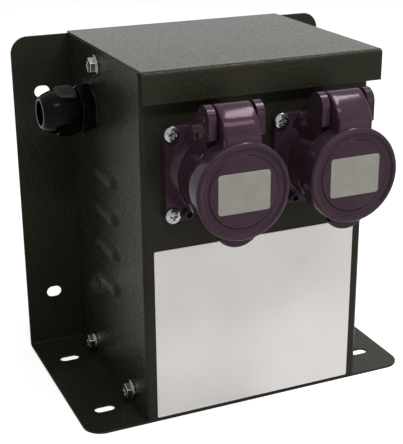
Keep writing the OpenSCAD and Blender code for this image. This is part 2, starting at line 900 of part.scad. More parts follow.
// Sleeve with the plug recess, pressed into the housing's bore from the front
module sleeve(s) {
    color(purple) on_socket(s) difference() {
        union() {
            translate([0, 0, -housing_rear]) cylinder(r = sleeve_r, h = housing_rear + sleeve_out);
            translate([0, 0, sleeve_out - bead_d]) cylinder(r = bead_r, h = bead_d);
            // Stop behind the spring's rear leg
            translate([-stop_w / 2, sleeve_r - stop_t, hinge_out - leg_l - hole_fit - stop_t])
                cube([stop_w, hinge_up - coil_r + wire_r - sleeve_r + stop_t, stop_t]);
        }
        // Plug recess with its keyway, and the bore for the contact carrier
        translate([0, 0, web_out + web_t]) cylinder(r = recess_r, h = sleeve_out);
        translate([-key_w / 2, -recess_r - key_d, web_out + web_t]) cube([key_w, recess_r, sleeve_out]);
        translate([0, 0, -housing_rear - cut]) {
            cylinder(r = nose_r + fit, h = sleeve_out);
            cylinder(r = carrier_r + fit, h = housing_rear + web_out + cut);
        }
    }
}

module carrier(s) {
    color("#3c3140") on_socket(s) difference() {
        union() {
            translate([0, 0, -carrier_rear]) cylinder(r = carrier_r, h = carrier_rear + web_out);
            cylinder(r = nose_r, h = nose_out);
        }
        for (k = [-1, 1])
            translate([k * contact_x, 0, -carrier_rear - cut])
                cylinder(r = contact_r + fit, h = carrier_rear + nose_out + 2 * cut);
    }
}

module contacts(s) {
    color(brass) on_socket(s) for (k = [-1, 1]) translate([k * contact_x, 0, 0]) difference() {
        union() {
            translate([0, 0, -carrier_rear]) cylinder(r = contact_r, h = carrier_rear + nose_out - cut);
            translate([0, 0, -carrier_rear - post_d]) cylinder(r = post_r, h = post_d);
        }
        cylinder(r = contact_bore_r, h = nose_out + cut);
        translate([0, 0, -carrier_rear - post_d - cut])
            cylinder(r = lead_hole_r, h = lead_seat + cut);
    }
}

module hinge_pin(s) {
    l = 2 * (ear_in + ear_t) - 2 * fit;
    color(zinc) on_socket(s) translate([-l / 2, hinge_up, hinge_out]) rotate([0, 90, 0])
        cylinder(r = pin_r, h = l);
}

// Torsion spring: a straight leg, the turns round the pin, and a second leg under the hood
function turn_point(t) = [
    (t / 360 - coil_turns / 2) * coil_pitch,
    hinge_up - coil_r * cos(t),
    hinge_out + coil_r * sin(t)];
spring_path = concat(
    [for (k = [leg_steps:-1:1]) turn_point(0) + [0, 0, -k * leg_l / leg_steps]],
    [for (k = [0:coil_turns * coil_rings]) turn_point(k * 360 / coil_rings)],
    [for (k = [1:leg_steps]) turn_point(0) + [coil_turns * coil_pitch, 0, k * leg_l / leg_steps]]);
spring_gap = min([for (i = [0:coil_rings * (coil_turns - 1)], j = [coil_rings - 2:coil_rings + 2])
    norm(turn_point(i * 360 / coil_rings) - turn_point((i + j) * 360 / coil_rings))]) - 2 * wire_r;
echo(spring_gap = spring_gap);

module spring(s) {
    color(zinc) on_socket(s) wire(spring_path, wire_r, [1, 0, 0], coil_sides);
}

// Flap

// Half section of the flap's cap, radius along X and distance out along Y
module cap_section() {
    translate([0, flap_out - face_t]) difference() {
        square([flap_r, face_t]);
        // Groove behind the rim, then the raised middle disc
        translate([flap_r - groove_in, face_t - groove_h])
            square([groove_in - rim_w, groove_h + cut]);
        translate([0, face_t - disc_h]) square([flap_r - groove_in, disc_h + cut]);
        // Rounded outer edge
        difference() {
            translate([flap_r - skirt_edge_r, face_t - skirt_edge_r]) square(skirt_edge_r + cut);
            translate([flap_r - skirt_edge_r, face_t - skirt_edge_r]) circle(skirt_edge_r);
        }
    }
    translate([flap_r - skirt_t, skirt_back]) square([skirt_t, skirt_d - face_t]);
}

// Centre of the hood's back, an arc that starts along the barrel and ends at the flap's top
hood_run = [hood_front_up - hinge_up, hood_front_out - hinge_out];
hood_near = (pow(hood_arc_r - hood_r, 2) - pow(hood_arc_r, 2) + pow(norm(hood_run), 2))
    / (2 * norm(hood_run));
hood_far = sqrt(pow(hood_arc_r - hood_r, 2) - pow(hood_near, 2));
hood_mid = [hinge_up, hinge_out]
    + (hood_near * hood_run + hood_far * [-hood_run[1], hood_run[0]]) / norm(hood_run);

// Side view of the hood, up along X and out along Y, set in by drop all round
module hood_side(drop) {
    translate([hinge_up, hinge_out]) circle(hood_r - drop);
    intersection() {
        translate(hood_mid) circle(hood_arc_r - drop);
        polygon([[hinge_up, hinge_out], [hinge_up + 2 * hood_r, hinge_out],
            [hinge_up + 2 * hood_r, hood_front_out - drop], [hood_foot_up, hood_front_out - drop],
            [hood_foot_up, skirt_back], [hinge_up - hood_r, hinge_out]]);
    }
}

module flap(s) {
    inside = hood_w / 2 - knuckle_w;
    color(purple) on_socket(s) difference() {
        union() {
            rotate_extrude($fn = 96) cap_section();
            difference() {
                along_x(-hood_w / 2, hood_w / 2) hood_side(0);
                // Room for the spring under the hood's skin
                along_x(-inside, inside) difference() {
                    hood_side(hood_skin);
                    square([flap_r, flap_out]);
                }
                along_x(-inside, inside) translate([0, hinge_out - hood_r - cut])
                    square([hinge_up + hood_r + cut, hood_r + cut]);
                cylinder(r = flap_r - cut, h = flap_out - face_t);
            }
            translate([0, 0, lug_out]) linear_extrude(lug_t) difference() {
                translate([0, -lug_drop]) circle(lug_r);
                circle(flap_r - skirt_t / 2);
            }
        }
        translate([0, hinge_up, hinge_out]) rotate([0, 90, 0])
            cylinder(r = pin_r + pin_fit, h = hood_w + 2 * cut, center = true);
    }
}

module flap_seal(s) {
    color(rubber) on_socket(s) translate([0, 0, seal_rear])
        ring(seal_out_r, seal_in_r, seal_front - seal_rear);
}

module flap_plate(s) {
    color("#c8c5b8") on_socket(s) translate([0, 0, flap_out - disc_h])
        linear_extrude(plate_label_t) rounded(plate_label_w, plate_label_h, plate_label_r);
}

module left_gasket() { gasket(-1); }
module left_socket() { socket(-1); }
module left_sleeve() { sleeve(-1); }
module left_carrier() { carrier(-1); }
module left_contacts() { contacts(-1); }
module left_hinge_pin() { hinge_pin(-1); }
module left_spring() { spring(-1); }
module left_flap() { flap(-1); }
module left_flap_seal() { flap_seal(-1); }
module left_flap_plate() { flap_plate(-1); }
module right_gasket() { gasket(1); }
module right_socket() { socket(1); }
module right_sleeve() { sleeve(1); }
module right_carrier() { carrier(1); }
module right_contacts() { contacts(1); }
module right_hinge_pin() { hinge_pin(1); }
module right_spring() { spring(1); }
module right_flap() { flap(1); }
module right_flap_seal() { flap_seal(1); }
module right_flap_plate() { flap_plate(1); }

// Pan-head screws of both sockets, and their nuts behind the panel

module socket_screws() {
    back = sheet_t + socket_nut_h + nut_spare;
    color(zinc) for (s = [-1, 1]) on_socket(s) at_screws() difference() {
        union() {
            translate([0, 0, -back]) cylinder(r = screw_r, h = back + flange_front + cut);
            translate([0, 0, flange_front]) rotate_extrude() intersection() {
                square([screw_head_r, screw_head_h]);
                translate([0, screw_head_h - 2 * screw_head_r]) circle(2 * screw_head_r);
            }
        }
        translate([0, 0, flange_front + screw_head_h]) cross(screw_head_r, cross_w, cross_d);
    }
}

module socket_nuts() {
    color(zinc) for (s = [-1, 1]) on_socket(s) at_screws()
        translate([0, 0, -sheet_t - socket_nut_h])
        nut(socket_nut_af, screw_r + thread_fit, socket_nut_h);
}

// Core and coils. The core stands on the base, its legs upright, its stack along Y.

// Repeats a piece at the core's corner bolts, Z pointing out of the core's front face
module at_core_bolts(rows = [0, 1]) {
    for (x = [-1, 1], k = rows)
        translate([x * core_bolt_x, -core_stack / 2,
            core_z + core_bolt_up + k * (core_h - 2 * core_bolt_up)])
            rotate([90, 0, 0]) children();
}

module core() {
    color("#4d4f52") difference() {
        translate([-core_w / 2, -core_stack / 2, core_z]) cube([core_w, core_stack, core_h]);
        for (s = [-1, 1])
            translate([s * (leg_w + window_w / 2) - window_w / 2, -core_stack / 2 - cut, window_z])
                cube([window_w, core_stack + 2 * cut, window_h]);
        at_core_bolts() translate([0, 0, -core_stack - cut])
            cylinder(r = core_bolt_r + thread_fit, h = core_stack + 2 * cut);
    }
}

// Tube with rounded corners round the middle leg, from inset a to inset b outside the bobbin
module coil_layer(a, b, z0, z1) {
    translate([0, 0, z0]) linear_extrude(z1 - z0) difference() {
        rounded(2 * (bobbin_half_x + b), 2 * (bobbin_half_y + b), coil_corner_r + b);
        rounded(2 * (bobbin_half_x + a), 2 * (bobbin_half_y + a), coil_corner_r + a);
    }
}

coil_z0 = window_z;
coil_z1 = window_z + window_h - bobbin_fit;
wound_z0 = coil_z0 + bobbin_flange_t + fit;
wound_z1 = coil_z1 - bobbin_flange_t - fit;
primary_y = bobbin_half_y + fit + primary_t / 2;
secondary_y = bobbin_half_y + secondary_in + secondary_t / 2;

// Places of the terminal block's poles: earth, left socket, mains, right socket
function pole_x(k) = (k - (poles - 1) / 2) * pole_pitch;
primary_poles = [3, 4];
secondary_poles = [1, 2, 5, 6];

module bobbin() {
    flange = [2 * (bobbin_half_x + bobbin_edge), 2 * (bobbin_half_y + bobbin_edge)];
    color("#d8d2c0") translate([0, 0, coil_z0]) difference() {
        union() {
            linear_extrude(coil_z1 - coil_z0)
                rounded(2 * bobbin_half_x, 2 * bobbin_half_y, coil_corner_r);
            for (z = [0, coil_z1 - coil_z0 - bobbin_flange_t])
                translate([0, 0, z]) linear_extrude(bobbin_flange_t)
                    rounded(flange[0], flange[1], coil_corner_r);
        }
        translate([-bobbin_half_x + bobbin_t, -bobbin_half_y + bobbin_t, -cut])
            cube([2 * (bobbin_half_x - bobbin_t), 2 * (bobbin_half_y - bobbin_t), core_h]);
        // Holes in the upper flange for the windings' leads
        for (k = primary_poles) translate([pole_x(k), primary_y, window_h / 2])
            cylinder(r = thin_lead_r + lead_gap, h = window_h);
        for (k = secondary_poles) translate([pole_x(k), secondary_y, window_h / 2])
            cylinder(r = thick_lead_r + lead_gap, h = window_h);
    }
}

module wound(a, b) {
    coil_layer(a, b, wound_z0, wound_z1);
}

module primary_winding() { color(copper) wound(fit, fit + primary_t); }
module winding_paper() { color("#c8b070") wound(paper_in, paper_in + paper_t); }
module secondary_winding() { color(copper) wound(secondary_in, secondary_in + secondary_t); }
module coil_wrap() { color("#d7c56a") wound(wrap_in, coil_out); }

// Angle bracket that clamps the lower yoke and stands on the base, for the front face
module core_bracket() {
    y = -core_stack / 2;
    difference() {
        union() {
            translate([-core_w / 2, y - bracket_t, core_z]) cube([core_w, bracket_t, bracket_h]);
            translate([-core_w / 2, y - bracket_foot, core_z]) cube([core_w, bracket_foot, bracket_t]);
        }
        at_core_bolts([0]) translate([0, 0, -cut])
            cylinder(r = core_bolt_r + thread_fit, h = bracket_t + 2 * cut);
        for (x = [-1, 1]) translate([x * foot_x, -foot_y, core_z - cut])
            cylinder(r = bolt_r + thread_fit, h = bracket_t + 2 * cut);
    }
}

module front_bracket() { color(zinc) core_bracket(); }
module rear_bracket() { color(zinc) mirror([0, 1, 0]) core_bracket(); }

module rear_clamp_bar() {
    color(zinc) mirror([0, 1, 0]) difference() {
        translate([-core_w / 2, -core_stack / 2 - bracket_t, core_top - bracket_h])
            cube([core_w, bracket_t, bracket_h]);
        at_core_bolts([1]) translate([0, 0, -cut])
            cylinder(r = core_bolt_r + thread_fit, h = bracket_t + 2 * cut);
    }
}

// Front clamp of the upper yoke, folded back over the core as the terminal block's shelf
module terminal_bracket() {
    y = -core_stack / 2 - bracket_t;
    color(zinc) difference() {
        union() {
            translate([-core_w / 2, y, core_top - bracket_h])
                cube([core_w, bracket_t, bracket_h + shelf_lift + bracket_t]);
            translate([-block_l / 2, y, core_top + shelf_lift]) cube([block_l, shelf_d, bracket_t]);
        }
        at_core_bolts([1]) translate([0, 0, -cut])
            cylinder(r = core_bolt_r + thread_fit, h = bracket_t + 2 * cut);
        for (x = [-1, 1]) translate([x * block_screw_x, block_y, core_top + shelf_lift - cut])
            cylinder(r = block_screw_r + thread_fit, h = bracket_t + 2 * cut);
    }
}

module core_bolts() {
    color(zinc) at_core_bolts() {
        translate([0, 0, bracket_t])
            cylinder(r = core_bolt_af / sqrt(3), h = core_bolt_head_h, $fn = 6);
        translate([0, 0, -core_stack - bracket_t - core_nut_h - nut_spare])
            cylinder(r = core_bolt_r, h = core_stack + 2 * bracket_t + core_nut_h + nut_spare + cut);
        translate([0, 0, -core_stack - bracket_t - core_nut_h])
            cylinder(r = core_bolt_af / sqrt(3), h = core_nut_h, $fn = 6);
    }
}

// Studs welded to the base, and the nuts that hold the brackets down
module at_feet() {
    for (x = [-1, 1], y = [-1, 1]) translate([x * foot_x, y * foot_y, core_z]) children();
}

module foot_studs() {
    color(zinc) at_feet() cylinder(r = bolt_r, h = bracket_t + foot_nut_h + nut_spare);
}

module foot_nuts() {
    color(zinc) at_feet() translate([0, 0, bracket_t])
        nut(foot_nut_af, bolt_r + thread_fit, foot_nut_h);
}

// Thermal cut-out, strapped to the front of the coil
module thermal_cutout() {
    y = -bobbin_half_y - coil_out - cutout_d;
    color(black) translate([0, y, (coil_z0 + coil_z1) / 2]) rotate([90, 0, 0])
        translate([0, 0, -cutout_d]) linear_extrude(cutout_d)
        rounded(cutout_w, cutout_h, cutout_d / 2);
}

// Terminal block: each pole has a clamp screw in a pit and a lead hole in front and behind
module terminal_block() {
    color("#d9d9d4") translate([0, block_y, block_z]) difference() {
        translate([-block_l / 2, -block_d / 2, 0]) cube([block_l, block_d, block_h]);
        for (k = [0:poles - 1]) translate([pole_x(k), 0, block_h - pole_pit])
            cylinder(r = pole_screw_r + fit, h = pole_pit + cut);
        for (k = [0:poles - 1], a = [90, -90]) translate([pole_x(k), 0, lead_hole_up])
            rotate([a, 0, 0]) translate([0, 0, block_d / 2 - lead_seat])
            cylinder(r = lead_hole_r, h = lead_seat + cut);
        for (x = [-1, 1]) translate([x * block_screw_x, 0, -cut]) {
            cylinder(r = block_screw_r + thread_fit, h = block_h + 2 * cut);
            translate([0, 0, block_h - pole_pit + cut])
                cylinder(r = block_screw_head_r + fit, h = pole_pit + cut);
        }
    }
}

module terminal_screws() {
    color(zinc) translate([0, block_y, block_z]) {
        for (k = [0:poles - 1]) translate([pole_x(k), 0, block_h - pole_pit])
            cylinder(r = pole_screw_r, h = pole_pit / 2);
        for (x = [-1, 1]) translate([x * block_screw_x, 0, 0]) {
            translate([0, 0, -bracket_t - block_screw_tip])
                cylinder(r = block_screw_r, h = bracket_t + block_screw_tip + block_h - pole_pit + cut);
            translate([0, 0, block_h - pole_pit])
                cylinder(r = block_screw_head_r, h = pole_pit / 2);
        }
    }
}

// Earth stud on the base, its nut, and the crimped tag of the earth lead

module earth_stud() {
    color(zinc) translate([earth_x, earth_y, sheet_t]) cylinder(r = earth_r, h = earth_h);
}

module earth_nut() {
    color(zinc) translate([earth_x, earth_y, sheet_t + tag_t])
        nut(earth_nut_af, earth_r + thread_fit, earth_nut_h);
}

module earth_tag() {
    color(zinc) translate([earth_x, earth_y, sheet_t]) rotate(90) {
        ring(tag_r, earth_r + thread_fit, tag_t);
        translate([-tag_r / 2, tag_r - cut, 0]) cube([tag_r, tag_barrel_l, tag_t]);
        translate([0, tag_r, thin_lead_r + tag_t / 2]) rotate([-90, 0, 0])
            cylinder(r = thin_lead_r + tag_t / 2, h = tag_barrel_l);
    }
}

// Leads. Each route is made of straight runs and quarter turns.

// Points of a quarter turn of radius r about c, from the side u of c to its side v
function turn(c, u, v, r) = [for (k = [0:turn_steps])
    c + r * (cos(90 * k / turn_steps) * u + sin(90 * k / turn_steps) * v)];

// From the top of a winding up, over the core and into the rear of a pole
function rear_route(x, y) = concat(
    [[x, y, wound_z1]],
    turn([x, y - lead_loop_r, lead_z - lead_loop_r], [0, 1, 0], [0, 0, 1], lead_loop_r),
    [[x, block_rear - lead_seat, lead_z]]);

// From a socket's post backwards, down in front of the terminal bracket and into a pole
post_end = front_y + carrier_rear + post_d;
function front_route(x0, x1) = concat(
    [[x0, post_end - lead_seat, socket_z]],
    turn([x0, post_end + cut, socket_z - lead_corner_r], [0, 0, 1], [0, 1, 0], lead_corner_r),
    turn([x1, post_end + cut + 2 * lead_corner_r, lead_z + lead_corner_r],
        [0, -1, 0], [0, 0, -1], lead_corner_r),
    [[x1, block_front + lead_seat, lead_z]]);

// From the earth tag up through the clip on the wall, over the core and into the first pole
tag_end = earth_x - tag_r - tag_barrel_l;
tag_up = sheet_t + thin_lead_r + tag_t / 2;
earth_in_y = block_rear + lead_loop_r;
earth_route = concat(
    [[tag_end, earth_y, tag_up]],
    turn([clip_x + lead_corner_r, earth_y, tag_up + lead_corner_r], [0, 0, -1], [-1, 0, 0], lead_corner_r),
    [[clip_x, clip_y, rivet_z - clip_w], [clip_x, clip_y, rivet_z + clip_w]],
    turn([clip_x + lead_loop_r, earth_in_y, lead_z - lead_loop_r], [-1, 0, 0], [0, 0, 1], lead_loop_r),
    turn([pole_x(0) - lead_corner_r, earth_in_y - lead_corner_r, lead_z], [0, 1, 0], [1, 0, 0],
        lead_corner_r),
    [[pole_x(0), block_rear - lead_seat, lead_z]]);

module primary_leads() {
    color("#7a4a2b") for (k = primary_poles)
        wire(rear_route(pole_x(k), primary_y), thin_lead_r, [1, 0, 0]);
}

module secondary_leads() {
    color(black) for (k = secondary_poles)
        wire(rear_route(pole_x(k), secondary_y), thick_lead_r, [1, 0, 0]);
}

module socket_leads() {
    color(black) for (i = [0:3]) {
        x0 = socket_shift + (i < 2 ? -1 : 1) * socket_pitch / 2 + (i % 2 == 0 ? -1 : 1) * contact_x;
        wire(front_route(x0, pole_x(secondary_poles[i])), thick_lead_r, [1, 0, 0]);
    }
}

module earth_lead() {
    color("#6d8a2a") wire(earth_route, thin_lead_r, [1, 1, -1]);
}

chassis();
case_wrap();
lid();
front_label();
case_bolts();
weld_nuts();
side_rivet();
lead_clip();
gland_washer();
gland_body();
gland_locknut();
gland_seal();
gland_cap();
left_gasket();
left_socket();
left_sleeve();
left_carrier();
left_contacts();
left_hinge_pin();
left_spring();
left_flap();
left_flap_seal();
left_flap_plate();
right_gasket();
right_socket();
right_sleeve();
right_carrier();
right_contacts();
right_hinge_pin();
right_spring();
right_flap();
right_flap_seal();
right_flap_plate();
socket_screws();
socket_nuts();
core();
bobbin();
primary_winding();
winding_paper();
secondary_winding();
coil_wrap();
front_bracket();
rear_bracket();
rear_clamp_bar();
terminal_bracket();
core_bolts();
foot_studs();
foot_nuts();
thermal_cutout();
terminal_block();
terminal_screws();
earth_stud();
earth_nut();
earth_tag();
primary_leads();
secondary_leads();
socket_leads();
earth_lead();
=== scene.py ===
import math
import bpy
import bmesh
import numpy as np
from mathutils import Matrix, Vector


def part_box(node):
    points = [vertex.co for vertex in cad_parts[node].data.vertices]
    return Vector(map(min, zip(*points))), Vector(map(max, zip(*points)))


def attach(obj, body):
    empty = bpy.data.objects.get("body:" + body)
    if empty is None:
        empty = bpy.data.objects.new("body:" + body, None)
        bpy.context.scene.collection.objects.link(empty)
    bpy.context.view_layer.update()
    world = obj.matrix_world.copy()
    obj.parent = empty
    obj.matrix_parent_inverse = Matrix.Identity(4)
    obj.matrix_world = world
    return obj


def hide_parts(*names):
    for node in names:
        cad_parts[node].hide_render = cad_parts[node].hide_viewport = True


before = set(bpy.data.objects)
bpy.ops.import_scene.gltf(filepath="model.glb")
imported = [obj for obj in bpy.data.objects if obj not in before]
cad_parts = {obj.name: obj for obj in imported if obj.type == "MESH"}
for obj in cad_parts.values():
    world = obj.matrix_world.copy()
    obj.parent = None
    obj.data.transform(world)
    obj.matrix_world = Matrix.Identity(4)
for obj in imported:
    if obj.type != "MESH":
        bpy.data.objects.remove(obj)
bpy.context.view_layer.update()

# Camera, in the place that the photograph was taken from.
# It looks at the left wall and the front panel from a little above the lid.
turn_left, look_down, tilt = math.radians(23.59), math.radians(20.68), math.radians(-0.41)
camera_place = (-0.2901, -0.6452, 0.3731)
picture_height, focal_pixels, sensor_height = 444, 1061.9, 24
ahead = Vector((math.sin(turn_left) * math.cos(look_down), math.cos(turn_left) * math.cos(look_down),
                -math.sin(look_down)))
level = Vector((math.cos(turn_left), -math.sin(turn_left), 0))
upward = level.cross(ahead)
picture_right = math.cos(tilt) * level + math.sin(tilt) * upward
picture_up = -math.sin(tilt) * level + math.cos(tilt) * upward
pose = Matrix((picture_right, picture_up, -ahead)).transposed().to_4x4()
pose.translation = camera_place
camera = bpy.data.objects.new("camera", bpy.data.cameras.new("camera"))
bpy.context.collection.objects.link(camera)
camera.matrix_world = pose
camera.data.sensor_fit = "VERTICAL"
camera.data.sensor_height = sensor_height
camera.data.lens = focal_pixels * sensor_height / picture_height
bpy.context.scene.camera = camera

# Room: a pale floor in a white room, with soft lamps overhead, in front and behind as in a workshop.
# Floor and room are white where they are seen or mirrored, and the floor keeps the object's shadow.


def linear(colour):
    """Turns an sRGB hex colour to linear light: c / 12.92 below 0.04045, else ((c + 0.055) / 1.055) ^ 2.4."""
    c = np.array([int(colour[k:k + 2], 16) for k in (1, 3, 5)]) / 255
    return (*np.where(c <= 0.04045, c / 12.92, ((c + 0.055) / 1.055) ** 2.4).tolist(), 1)


def node(tree, kind, links=(), **settings):
    """Adds a node. A setting named in0, in1 and so on fills that input, and links pairs an input with the
    output that feeds it."""
    made = tree.nodes.new(kind)
    for name, value in settings.items():
        if name.startswith("in") and name[2:].isdigit():
            made.inputs[int(name[2:])].default_value = value
        else:
            setattr(made, name, value)
    for socket, source in links:
        tree.links.new(source, made.inputs[socket])
    return made


def sight(tree):
    """One for a ray that sees, mirrors or looks through, and nought for the light that falls on things."""
    ray = node(tree, "ShaderNodeLightPath").outputs
    seen = node(tree, "ShaderNodeMath", [(0, ray["Is Camera Ray"]), (1, ray["Is Glossy Ray"])],
                operation="MAXIMUM")
    return node(tree, "ShaderNodeMath", [(0, seen.outputs[0]), (1, ray["Is Transmission Ray"])],
                operation="MAXIMUM").outputs[0]


# The floor lies a hair under the base, and is clear from below, so that the base's underside can be seen.
# Its glow and its lit paint together come out just white.
hair, floor_half, floor_glow = 0.0001, 3, 0.75
floor_line = np.linspace(-floor_half, floor_half, 2)
floor_grid = np.stack(np.meshgrid(floor_line, floor_line), -1).reshape(-1, 2)
floor_mesh = bpy.data.meshes.new("floor")
floor_mesh.from_pydata([(x, y, -hair) for x, y in floor_grid.tolist()], [], [(0, 1, 3, 2)])
floor = bpy.data.objects.new("floor", floor_mesh)
bpy.context.collection.objects.link(floor)
floor_paint = bpy.data.materials.new("floor_matt_white")
floor_paint.use_nodes = True
tree = floor_paint.node_tree
matt = tree.nodes["Principled BSDF"]
matt.inputs["Base Color"].default_value = linear("#d2d2d2")
matt.inputs["Roughness"].default_value = 0.9
white = node(tree, "ShaderNodeEmission", in0=(1, 1, 1, 1), in1=floor_glow)
both = node(tree, "ShaderNodeAddShader", [(0, matt.outputs[0]), (1, white.outputs[0])])
mixed = node(tree, "ShaderNodeMixShader", [(0, sight(tree)), (1, matt.outputs[0]), (2, both.outputs[0])])
facing = node(tree, "ShaderNodeNewGeometry")
clear = node(tree, "ShaderNodeBsdfTransparent")
one_way = node(tree, "ShaderNodeMixShader", [(0, facing.outputs["Backfacing"]), (1, mixed.outputs[0]),
                                             (2, clear.outputs[0])])
tree.links.new(one_way.outputs[0], tree.nodes["Material Output"].inputs[0])
floor_mesh.materials.append(floor_paint)

# The walls of the room light the object from all round, dimly.
wall_light = 0.2
room = bpy.data.worlds.new("room")
bpy.context.scene.world = room
room.use_nodes = True
tree = room.node_tree
dim = node(tree, "ShaderNodeBackground", in0=(1, 1, 1, 1), in1=wall_light)
tree.nodes["Background"].inputs[0].default_value = (1, 1, 1, 1)
mixed = node(tree, "ShaderNodeMixShader", [(0, sight(tree)), (1, dim.outputs[0]),
                                           (2, tree.nodes["Background"].outputs[0])])
tree.links.new(mixed.outputs[0], tree.nodes["World Output"].inputs[0])


def lamp(name, place, aim, size, watts):
    """A rectangular soft lamp at place, turned to face aim, both in metres."""
    made = bpy.data.objects.new(name, bpy.data.lights.new(name, "AREA"))
    bpy.context.collection.objects.link(made)
    made.data.shape = "RECTANGLE"
    made.data.size, made.data.size_y = size
    made.data.energy = watts
    made.location = place
    made.rotation_euler = (Vector(place) - Vector(aim)).to_track_quat("Z", "Y").to_euler()


lamp("ceiling_lamp", place=(0.5, -0.2, 1.25), aim=(0, 0, 0.15), size=(0.5, 0.2), watts=8)
lamp("back_window", place=(0.55, 1.15, 0.8), aim=(0, 0, 0.15), size=(1.5, 0.5), watts=1.2)
lamp("front_lamp", place=(0, -0.62, 0.95), aim=(0, -0.1, 0.12), size=(0.9, 0.14), watts=4.5)
lamp("front_fill", place=(0.5, -1.2, 0.35), aim=(0, -0.1, 0.15), size=(0.6, 0.6), watts=1.4)

# Chassis: the base and the back plate, one sheet of 1.5 mm steel folded to an L.
# Its slots and windows are punched, its side tabs are bent up, and it is powder coated.
MM = 0.001


def finish(name, colours, rough, grain, depth, blotch=25, metal=0.0, ior=1.5, sheen=0.5, stretch=(1, 1, 1)):
    """A material whose colour drifts between two colours over blotches of blotch millimetres. Grains of
    grain millimetres, made narrower along each axis by stretch, raise the surface by depth millimetres and
    spread its roughness between the two values of rough. sheen is the strength of its mirror-like
    reflection. The noise nodes' inputs 2, 3 and 4 are scale, detail and roughness, and their values lie
    mostly between 0.3 and 0.7."""
    made = bpy.data.materials.new(name)
    made.use_nodes = True
    tree = made.node_tree
    shader = tree.nodes["Principled BSDF"]
    shader.inputs["Metallic"].default_value = metal
    shader.inputs["Specular IOR Level"].default_value = sheen
    if not metal:
        shader.inputs["IOR"].default_value = ior
    here = node(tree, "ShaderNodeTexCoord")
    drift = node(tree, "ShaderNodeTexNoise", [("Vector", here.outputs["Object"])],
                 in2=1 / (blotch * MM), in3=3)
    tint = node(tree, "ShaderNodeValToRGB", [(0, drift.outputs["Fac"])], name="tint")
    for stop, position, colour in zip(tint.color_ramp.elements, (0.35, 0.65), colours):
        stop.position, stop.color = position, linear(colour)
    tree.links.new(tint.outputs[0], shader.inputs["Base Color"])
    drawn = node(tree, "ShaderNodeMapping", [(0, here.outputs["Object"])], in3=stretch)
    fine = node(tree, "ShaderNodeTexNoise", [("Vector", drawn.outputs[0])], in2=1 / (grain * MM), in3=3,
                in4=0.55, name="fine")
    gloss = node(tree, "ShaderNodeMapRange", [(0, fine.outputs["Fac"])], in1=0.3, in2=0.7,
                 in3=rough[0], in4=rough[1])
    tree.links.new(gloss.outputs[0], shader.inputs["Roughness"])
    bump = node(tree, "ShaderNodeBump", [("Height", fine.outputs["Fac"])], name="bump")
    bump.inputs["Distance"].default_value = depth * MM
    tree.links.new(bump.outputs[0], shader.inputs["Normal"])
    return made


# Corners within weld_distance millimetres are one, and so are faces within flat_angle degrees.
weld_distance, flat_angle, edge_steps = 0.002, 0.5, 2


def softened(name, cad_node, paint, body="case", edge=0.3, angle=30):
    """A welded copy of a CAD node, its flat faces merged, whose edges sharper than angle get a round of
    edge millimetres. The shading follows the largest faces, so that flat faces look flat up to the round."""
    shell = bmesh.new()
    shell.from_mesh(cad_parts[cad_node].data)
    bmesh.ops.remove_doubles(shell, verts=shell.verts, dist=weld_distance * MM)
    bmesh.ops.dissolve_limit(shell, angle_limit=math.radians(flat_angle), verts=shell.verts,
                             edges=shell.edges)
    mesh = bpy.data.meshes.new(name)
    shell.to_mesh(mesh)
    shell.free()
    mesh.shade_smooth()
    mesh.set_sharp_from_angle(angle=math.radians(angle))
    mesh.materials.clear()
    mesh.materials.append(paint)
    piece = bpy.data.objects.new(name, mesh)
    bpy.context.collection.objects.link(piece)
    if edge:
        soft = piece.modifiers.new("edge", "BEVEL")
        soft.width = edge * MM
        soft.segments = edge_steps
        soft.limit_method = "ANGLE"
        soft.angle_limit = math.radians(angle)
        soft.use_clamp_overlap = False
    shading = piece.modifiers.new("shading", "WEIGHTED_NORMAL")
    shading.weight = 100
    shading.keep_sharp = True
    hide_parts(cad_node)
    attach(piece, body)


# Polyester powder coat, sprayed and baked: a warm, slightly olive dark grey with a fine leathery skin that
# breaks up every highlight. It hardly mirrors from in front, and turns pale where it is seen edge on.
powder_coat = finish("powder_coat_olive_grey", ("#292820", "#2e2d24"), (0.2, 0.3), grain=2.0, depth=0.38,
                     blotch=40, ior=1.45, sheen=0.1)
coat_shader = powder_coat.node_tree.nodes["Principled BSDF"]
coat_shader.inputs["Specular Tint"].default_value = linear("#f4ecdc")
softened("chassis_sheet", "chassis", powder_coat)

# Case wrap: left wall, front panel and right wall, one sheet folded twice.
# Four louvres are pressed out of each side wall.
softened("case_wrap_sheet", "case_wrap", powder_coat, edge=0.25)

# Lid: a top plate with a folded front lip, screwed to the walls by two tabs welded under it.
softened("lid_sheet", "lid", powder_coat)

# Front label: a bare film stuck on the lower half of the front panel.
# Polyester film over a satin metal layer: silvery, with a broad soft sheen.
label_film = finish("polyester_film_satin_silver", ("#d6d2cf", "#dddad7"), (0.28, 0.38), grain=0.8,
                    depth=0.004, blotch=60, metal=0.3, stretch=(1, 1, 6))
softened("front_label_film", "front_label", label_film, edge=0.12)

# Case bolts: six washer-head bolts, cold-headed from steel wire, with a cross recess, and the nuts that
# are welded behind them. They hold the wrap and the lid to the chassis.
# Bright zinc plating over steel: a cool mirror with fine brushing and a faint blue and yellow cast.
zinc_plate = finish("zinc_plated_steel", ("#8d9398", "#a09d94"), (0.14, 0.26), grain=0.6, depth=0.012,
                    blotch=3, metal=1.0, stretch=(1, 1, 3))
softened("case_bolt_heads", "case_bolts", zinc_plate, edge=0.35)
softened("weld_nut_set", "weld_nuts", zinc_plate, edge=0.25)

# Painted rivet in the left wall, coated together with the case, and the moulded clip that it holds
# inside for the earth lead.
softened("side_rivet_head", "side_rivet", powder_coat, edge=0.2)
